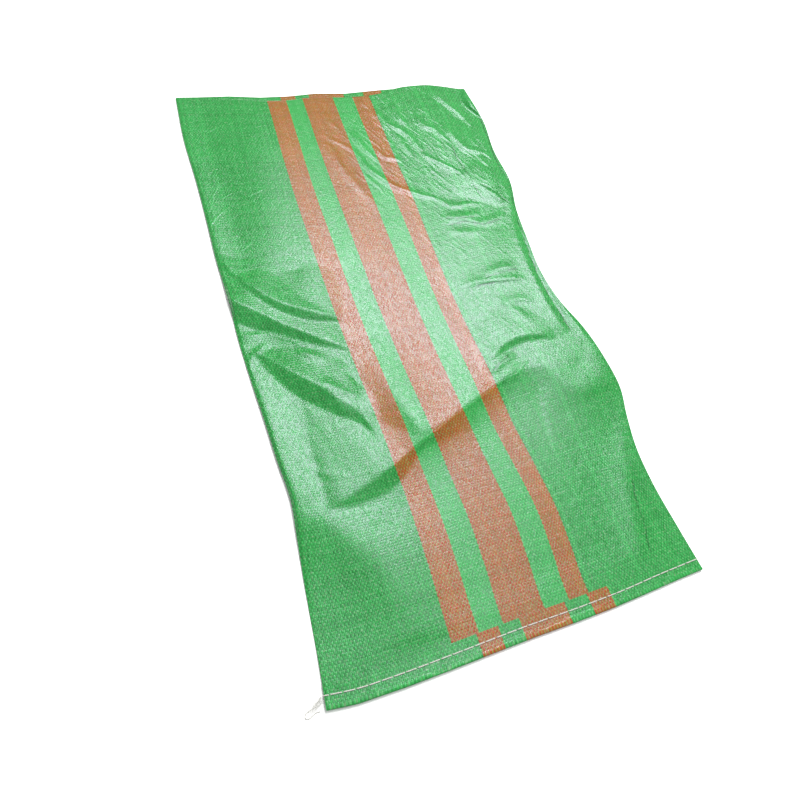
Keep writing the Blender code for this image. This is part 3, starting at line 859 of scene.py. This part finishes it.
def tape_crossings(tree, cloth):
    """Plain weave of slightly wavy tapes: the number of the warp tape and of the weft tape at each place,
    the rounded cushion of each crossing, and 1 where the warp lies on top."""
    round_place, down_place, _ = add_node(tree, "ShaderNodeSeparateXYZ", {0: cloth})
    wave = add_node(tree, "ShaderNodeTexNoise", {"Vector": cloth, "Scale": SWAYS / HUNDRED_MM})[0]
    sway = add_node(tree, "ShaderNodeMath", {0: wave, 1: SWAY_SHARE}, operation="MULTIPLY")[0]
    tapes = []
    waves = []
    for place, pitch in ((round_place, WARP_PITCH), (down_place, WEFT_PITCH)):
        straight = add_node(tree, "ShaderNodeMath", {0: place, 1: pitch * MM}, operation="DIVIDE")[0]
        wavy = add_node(tree, "ShaderNodeMath", {0: straight, 1: sway}, operation="ADD")[0]
        turn = add_node(tree, "ShaderNodeMath", {0: wavy, 1: math.pi}, operation="MULTIPLY")[0]
        tapes.append(add_node(tree, "ShaderNodeMath", {0: wavy}, operation="FLOOR")[0])
        waves.append(add_node(tree, "ShaderNodeMath", {0: turn}, operation="SINE")[0])
    crossing = add_node(tree, "ShaderNodeMath", {0: waves[0], 1: waves[1]}, operation="MULTIPLY")[0]
    warp_on_top = add_node(tree, "ShaderNodeMath", {0: crossing, 1: 0.0}, operation="GREATER_THAN")[0]
    size = add_node(tree, "ShaderNodeMath", {0: crossing}, operation="ABSOLUTE")[0]
    cushion = add_node(tree, "ShaderNodeMath", {0: size, 1: 0.5}, operation="POWER")[0]
    return tapes[0], tapes[1], cushion, warp_on_top


def tape_tones(tree, cloth, warp_tape, weft_tape):
    """A tone of each crossing of its own, and the cloth's tone from that, its tapes and soft clouds."""
    crossing = add_node(tree, "ShaderNodeCombineXYZ", {0: warp_tape, 1: weft_tape})[0]
    crossing_tone = add_node(tree, "ShaderNodeTexWhiteNoise", {"Vector": crossing},
                             noise_dimensions="2D")[0]
    warp_tone = add_node(tree, "ShaderNodeTexWhiteNoise", {"W": warp_tape}, noise_dimensions="1D")[0]
    weft_seed = add_node(tree, "ShaderNodeMath", {0: weft_tape, 1: 900.0}, operation="ADD")[0]
    weft_tone = add_node(tree, "ShaderNodeTexWhiteNoise", {"W": weft_seed}, noise_dimensions="1D")[0]
    cloud = add_node(tree, "ShaderNodeTexNoise", {"Vector": cloth, "Scale": CLOUDS / HUNDRED_MM,
                                                  "Detail": 3.0})[0]
    pale_tape = add_node(tree, "ShaderNodeMath", {0: warp_tone, 1: PALE_TAPE_RARITY}, operation="POWER")[0]
    tone = TONE_LEAST
    for part, share in ((crossing_tone, CROSSING_SHARE), (warp_tone, WARP_SHARE), (weft_tone, WEFT_SHARE),
                        (cloud, CLOUD_SHARE), (pale_tape, PALE_TAPE_SHARE)):
        tone = add_node(tree, "ShaderNodeMath", {0: part, 1: share, 2: tone}, operation="MULTIPLY_ADD")[0]
    return crossing_tone, tone


def tape_colour(tree, warp_tape, cushion, warp_on_top, crossing_tone, tone):
    """Green tapes with orange-brown warp stripes, a shade lighter where the warp lies on top, with painted
    shade in the grooves between crossings and a little painted highlight on their cushions."""
    middle = add_node(tree, "ShaderNodeMath", {0: warp_tape, 1: 0.5}, operation="ADD")[0]
    middle = add_node(tree, "ShaderNodeMath", {0: middle, 1: WARP_PITCH * MM}, operation="MULTIPLY")[0]
    back_stripes = [(2.0 * SACK_WIDTH - high, 2.0 * SACK_WIDTH - low) for low, high in BACK_STRIPES]
    stripes = stripe_mask(tree, middle, list(FRONT_STRIPES) + back_stripes)
    # Painted sheen: the green between the stripes is lighter all along its length
    painted_sheen_bands = stripe_mask(tree, middle, PAINTED_SHEEN_BANDS)
    green_tone = add_node(tree, "ShaderNodeMath", {0: painted_sheen_bands, 1: PAINTED_SHEEN_SHARE, 2: tone},
                          operation="MULTIPLY_ADD")[0]
    green_tone = add_node(tree, "ShaderNodeMath", {0: green_tone, 1: DOT_SHARE / 2.0},
                          operation="SUBTRACT")[0]
    green_tone = add_node(tree, "ShaderNodeMath", {0: warp_on_top, 1: DOT_SHARE, 2: green_tone},
                          operation="MULTIPLY_ADD")[0]
    tapes = []
    for share, dark, light in ((green_tone, GREEN_DARK, GREEN_LIGHT), (tone, ORANGE_DARK, ORANGE_LIGHT),
                               (tone, STRIPE_WEFT_DARK, STRIPE_WEFT_LIGHT)):
        tapes.append(add_node(tree, "ShaderNodeMix", {0: share, 6: colour(dark), 7: colour(light)},
                              data_type="RGBA")[2])
    green, orange_warp, weft_of_stripe = tapes
    uneven = add_node(tree, "ShaderNodeMath", {0: crossing_tone, 1: 1.0 - WARP_COVER},
                      operation="MULTIPLY")[0]
    warp_shows = add_node(tree, "ShaderNodeMath", {0: warp_on_top, 1: WARP_COVER, 2: uneven},
                          operation="MULTIPLY_ADD")[0]
    orange = add_node(tree, "ShaderNodeMix", {0: warp_shows, 6: weft_of_stripe, 7: orange_warp},
                      data_type="RGBA")[2]
    tape = add_node(tree, "ShaderNodeMix", {0: stripes, 6: green, 7: orange}, data_type="RGBA")[2]
    # Painted shade in the grooves between crossings, and a little painted highlight on their cushions
    painted_groove_shade = add_node(tree, "ShaderNodeMapRange", {0: cushion, 3: GROOVE_PAINTED_SHADE, 4: CUSHION_PAINTED_HIGHLIGHT})[0]
    return add_node(tree, "ShaderNodeMix", {0: 1.0, 6: tape, 7: painted_groove_shade},
                    data_type="RGBA", blend_type="MULTIPLY")[2]


def film_lines(tree, laid):
    """Raised and pressed lines of the film, slightly wavy and of uneven strength."""
    bend = add_node(tree, "ShaderNodeTexNoise", {"Vector": laid, "Scale": LINE_BENDS / HUNDRED_MM})[1]
    wavy = add_node(tree, "ShaderNodeVectorMath", {0: bend, 1: (LINE_SWAY * MM, LINE_SWAY * MM, 0.0),
                                                   2: laid}, operation="MULTIPLY_ADD")[0]
    middle = (LINE_SWAY / 2.0 * MM, LINE_SWAY / 2.0 * MM, 0.0)
    wavy = add_node(tree, "ShaderNodeVectorMath", {0: wavy, 1: middle}, operation="SUBTRACT")[0]
    uneven = add_node(tree, "ShaderNodeTexNoise", {"Vector": laid, "Scale": LINE_BREAKS / HUNDRED_MM})[0]
    strength = add_node(tree, "ShaderNodeMapRange", {0: uneven, 1: 0.36, 2: 0.62, 3: LINE_LEAST})[0]
    found = []
    for lines, reach in ((RAISED_LINES, RAISED_REACH), (PRESSED_LINES, PRESSED_REACH)):
        near = near_lines(tree, wavy, lines, reach)
        found.append(add_node(tree, "ShaderNodeMath", {0: near, 1: strength}, operation="MULTIPLY")[0])
    return found


def woven_share(tree, cloth):
    """1 on the cloth, falling to 0 on its two cut ends at the mouth and the hem's flap."""
    _, down_place, _ = add_node(tree, "ShaderNodeSeparateXYZ", {0: cloth})
    half = CUT_LENGTH / 2.0
    from_middle = add_node(tree, "ShaderNodeMath", {0: down_place, 1: half * MM}, operation="SUBTRACT")[0]
    away = add_node(tree, "ShaderNodeMath", {0: from_middle}, operation="ABSOLUTE")[0]
    return add_node(tree, "ShaderNodeMapRange",
                    {0: away, 1: (half - CUT_EDGE) * MM, 2: half * MM, 3: 1.0, 4: 0.0})[0]


def film_over_tapes(tree, tapes, cloth, raised, pressed, woven):
    """Colour of the tapes under the film, with painted light in it: a painted highlight along the raised
    lines, painted shade along the pressed lines and on the hot-cut ends, and painted glints.
    """
    # Painted highlight along the raised lines and painted shade along the pressed ones
    lighter = add_node(tree, "ShaderNodeMath", {0: raised, 1: RAISED_PAINTED_HIGHLIGHT, 2: 1.0},
                       operation="MULTIPLY_ADD")[0]
    shade = add_node(tree, "ShaderNodeMath", {0: pressed, 1: PRESSED_PAINTED_SHADE, 2: lighter},
                     operation="MULTIPLY_ADD")[0]
    # Painted shade on the cut ends
    painted_cut_shade = add_node(tree, "ShaderNodeMath", {0: woven, 1: 1.0 - CUT_PAINTED_SHADE, 2: CUT_PAINTED_SHADE},
                         operation="MULTIPLY_ADD")[0]
    shade = add_node(tree, "ShaderNodeMath", {0: shade, 1: painted_cut_shade}, operation="MULTIPLY")[0]
    shaded = add_node(tree, "ShaderNodeMix", {0: 1.0, 6: tapes, 7: shade},
                      data_type="RGBA", blend_type="MULTIPLY")[2]
    # Painted glints: pale spots mixed into the colour
    glint_spots = add_node(tree, "ShaderNodeTexNoise", {"Vector": cloth, "Scale": GLINT_SPOTS / HUNDRED_MM,
                                                  "Detail": 1.0, "Roughness": 0.6})[0]
    painted_glints = add_node(tree, "ShaderNodeMapRange", {0: glint_spots, 1: 0.55, 2: 0.76, 3: 0.0, 4: PAINTED_GLINT_SHARE})[0]
    return add_node(tree, "ShaderNodeMix", {0: painted_glints, 6: shaded, 7: colour(PAINTED_GLINT_COLOUR)},
                    data_type="RGBA")[2]


def weave_relief(tree, cushion, crossing_tone, crumpled):
    """Height of the crossings' cushions, uneven, and flatter where the film is crumpled."""
    height = add_node(tree, "ShaderNodeMapRange",
                      {0: crossing_tone, 3: CUSHION_LOW * MM, 4: CUSHION_HIGH * MM})[0]
    flatter = add_node(tree, "ShaderNodeMapRange", {0: crumpled, 3: 1.0, 4: CRUMPLED_CUSHION})[0]
    height = add_node(tree, "ShaderNodeMath", {0: height, 1: flatter}, operation="MULTIPLY")[0]
    return add_node(tree, "ShaderNodeMath", {0: cushion, 1: height}, operation="MULTIPLY")[0]


def film_relief(tree, laid, raised, pressed, crumpled):
    """Height of the film's crumples and fine lines."""
    crumples = film_crumple(tree, laid, crumpled)
    lines = add_node(tree, "ShaderNodeMath", {0: pressed, 1: -PRESSED_DEPTH * MM, 2: crumples},
                     operation="MULTIPLY_ADD")[0]
    return add_node(tree, "ShaderNodeMath", {0: raised, 1: RAISED_HEIGHT * MM, 2: lines},
                    operation="MULTIPLY_ADD")[0]


def woven_polypropylene():
    """Polypropylene tape, circular woven in plain weave and film laminated: green with orange-brown
    warp stripes, a small cushion at each crossing, and a film gloss that breaks up on the tapes."""
    material, tree, shader = new_material("laminated_woven_polypropylene")
    cloth = add_node(tree, "ShaderNodeUVMap", uv_map="cloth")[0]
    laid = add_node(tree, "ShaderNodeUVMap", uv_map="laid")[0]
    warp_tape, weft_tape, cushion, warp_on_top = tape_crossings(tree, cloth)
    crossing_tone, tone = tape_tones(tree, cloth, warp_tape, weft_tape)
    tapes = tape_colour(tree, warp_tape, cushion, warp_on_top, crossing_tone, tone)
    raised, pressed = film_lines(tree, laid)
    woven = woven_share(tree, cloth)
    face = film_over_tapes(tree, tapes, cloth, raised, pressed, woven)
    tree.links.new(face, shader.inputs["Base Color"])

    # Relief of the film, and of the weave that shows through it
    crumpled = crumple_share(tree, laid)
    normal = add_node(tree, "ShaderNodeBump",
                      {"Strength": 1.0, "Distance": 1.0,
                       "Height": film_relief(tree, laid, raised, pressed, crumpled)})[0]
    normal = add_node(tree, "ShaderNodeBump",
                      {"Strength": 1.0, "Distance": 1.0, "Normal": normal,
                       "Height": weave_relief(tree, cushion, crossing_tone, crumpled)})[0]
    tree.links.new(normal, shader.inputs["Normal"])

    # Gloss: uneven from crossing to crossing, brightest where the film is crumpled, none on the cut ends
    roughness = add_node(tree, "ShaderNodeMath", {0: crossing_tone, 1: ROUGHNESS_SPREAD,
                                                 2: FILM_ROUGHNESS},
                         operation="MULTIPLY_ADD")[0]
    roughness = add_node(tree, "ShaderNodeMath", {0: crumpled, 1: -CRUMPLED_SMOOTHER, 2: roughness},
                         operation="MULTIPLY_ADD")[0]
    tree.links.new(roughness, shader.inputs["Roughness"])
    gloss = add_node(tree, "ShaderNodeMath", {0: crumpled, 1: CRUMPLED_GLOSS, 2: FILM_GLOSS},
                     operation="MULTIPLY_ADD")[0]
    gloss = add_node(tree, "ShaderNodeMath", {0: gloss, 1: woven}, operation="MULTIPLY")[0]
    tree.links.new(gloss, shader.inputs["Specular IOR Level"])
    shader.inputs["Specular Tint"].default_value = FILM_GLOSS_TINT
    shader.inputs["IOR"].default_value = POLYPROPYLENE_IOR
    return material


def sewing_thread(name, dark, light):
    """Bleached spun polyester sewing thread: matt, white, a little greyer in small patches."""
    material, tree, shader = new_material(name)
    place = add_node(tree, "ShaderNodeTexCoord")["Object"]
    plies = add_node(tree, "ShaderNodeTexNoise", {"Vector": place, "Scale": PLY_MARKS / HUNDRED_MM})[0]
    tone = add_node(tree, "ShaderNodeMix", {0: plies, 6: colour(dark), 7: colour(light)},
                    data_type="RGBA")[2]
    tree.links.new(tone, shader.inputs["Base Color"])
    bump = add_node(tree, "ShaderNodeBump", {"Strength": 0.6, "Distance": PLY_MARK_DEPTH * MM,
                                             "Height": plies})[0]
    tree.links.new(bump, shader.inputs["Normal"])
    shader.inputs["Roughness"].default_value = THREAD_ROUGHNESS
    return material


def pale_floor():
    """Matt white painted studio floor."""
    material, _, shader = new_material("matt_white_floor")
    shader.inputs["Base Color"].default_value = colour("FFFFFF")
    shader.inputs["Roughness"].default_value = 0.95
    shader.inputs["Specular IOR Level"].default_value = 0.2
    return material


def make_floor(material):
    """Floor far wider than the view, just under the sack so that no faces coincide."""
    bpy.ops.mesh.primitive_plane_add(size=FLOOR_SIZE, location=(0.0, 0.0, -FLOOR_DROP))
    floor = bpy.context.object
    floor.name = "floor"
    floor.data.materials.append(material)


def make_camera():
    """The camera that the photograph's corners of the sack give."""
    camera = bpy.data.objects.new("camera", bpy.data.cameras.new("camera"))
    camera.data.sensor_width = SENSOR_WIDTH
    camera.data.lens = SENSOR_WIDTH * FOCAL_PIXELS / IMAGE_SIZE
    camera.data.shift_x = (IMAGE_SIZE / 2.0 - PRINCIPAL_X) / IMAGE_SIZE
    camera.data.clip_start = 0.01
    right, up = CAMERA_RIGHT.normalized(), CAMERA_UP.normalized()
    turned = Matrix((right, up, right.cross(up))).transposed().to_4x4()
    camera.matrix_world = Matrix.Translation(CORNER + CAMERA_PLACE * MM) @ turned
    bpy.context.scene.collection.objects.link(camera)
    bpy.context.scene.camera = camera


def area_light(name, place, target, size, power):
    """One softbox that faces a target."""
    light = bpy.data.lights.new(name, "AREA")
    light.shape = "RECTANGLE"
    light.size, light.size_y = size
    light.energy = power
    lamp = bpy.data.objects.new(name, light)
    lamp.location = place
    lamp.rotation_euler = (Vector(target) - Vector(place)).to_track_quat("-Z", "Y").to_euler()
    bpy.context.scene.collection.objects.link(lamp)


def light_scene():
    """White surroundings, and the two softboxes."""
    world = bpy.data.worlds.new("studio")
    bpy.context.scene.world = world
    world.use_nodes = True
    background = world.node_tree.nodes["Background"]
    background.inputs["Color"].default_value = (1.0, 1.0, 1.0, 1.0)
    background.inputs["Strength"].default_value = ROOM_LIGHT
    for softbox in SOFTBOXES:
        area_light(*softbox)
    bpy.context.scene.view_settings.view_transform = "Standard"
    bpy.context.scene.view_settings.look = "None"


def finish_piece(piece, material, node):
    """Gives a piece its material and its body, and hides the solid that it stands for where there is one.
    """
    piece.data.materials.append(material)
    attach(piece, "root")
    if node:
        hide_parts(node)


def main():
    """Camera and thread end first, then the cloth, the seam, the floor and the light."""
    make_camera()
    thread = sewing_thread("spun_polyester_thread", *THREAD_TONES)
    fibres = sewing_thread("frayed_polyester_fibres", *FIBRE_TONES)
    cord = make_tail()
    fray = make_fray()
    finish_piece(cord, thread, "thread_tail")
    finish_piece(fray, fibres, None)
    sack = make_sack()
    finish_piece(sack, woven_polypropylene(), "sack_body")
    seam = make_seam()
    finish_piece(seam, thread, "seam_thread")
    make_floor(pale_floor())
    light_scene()


main()
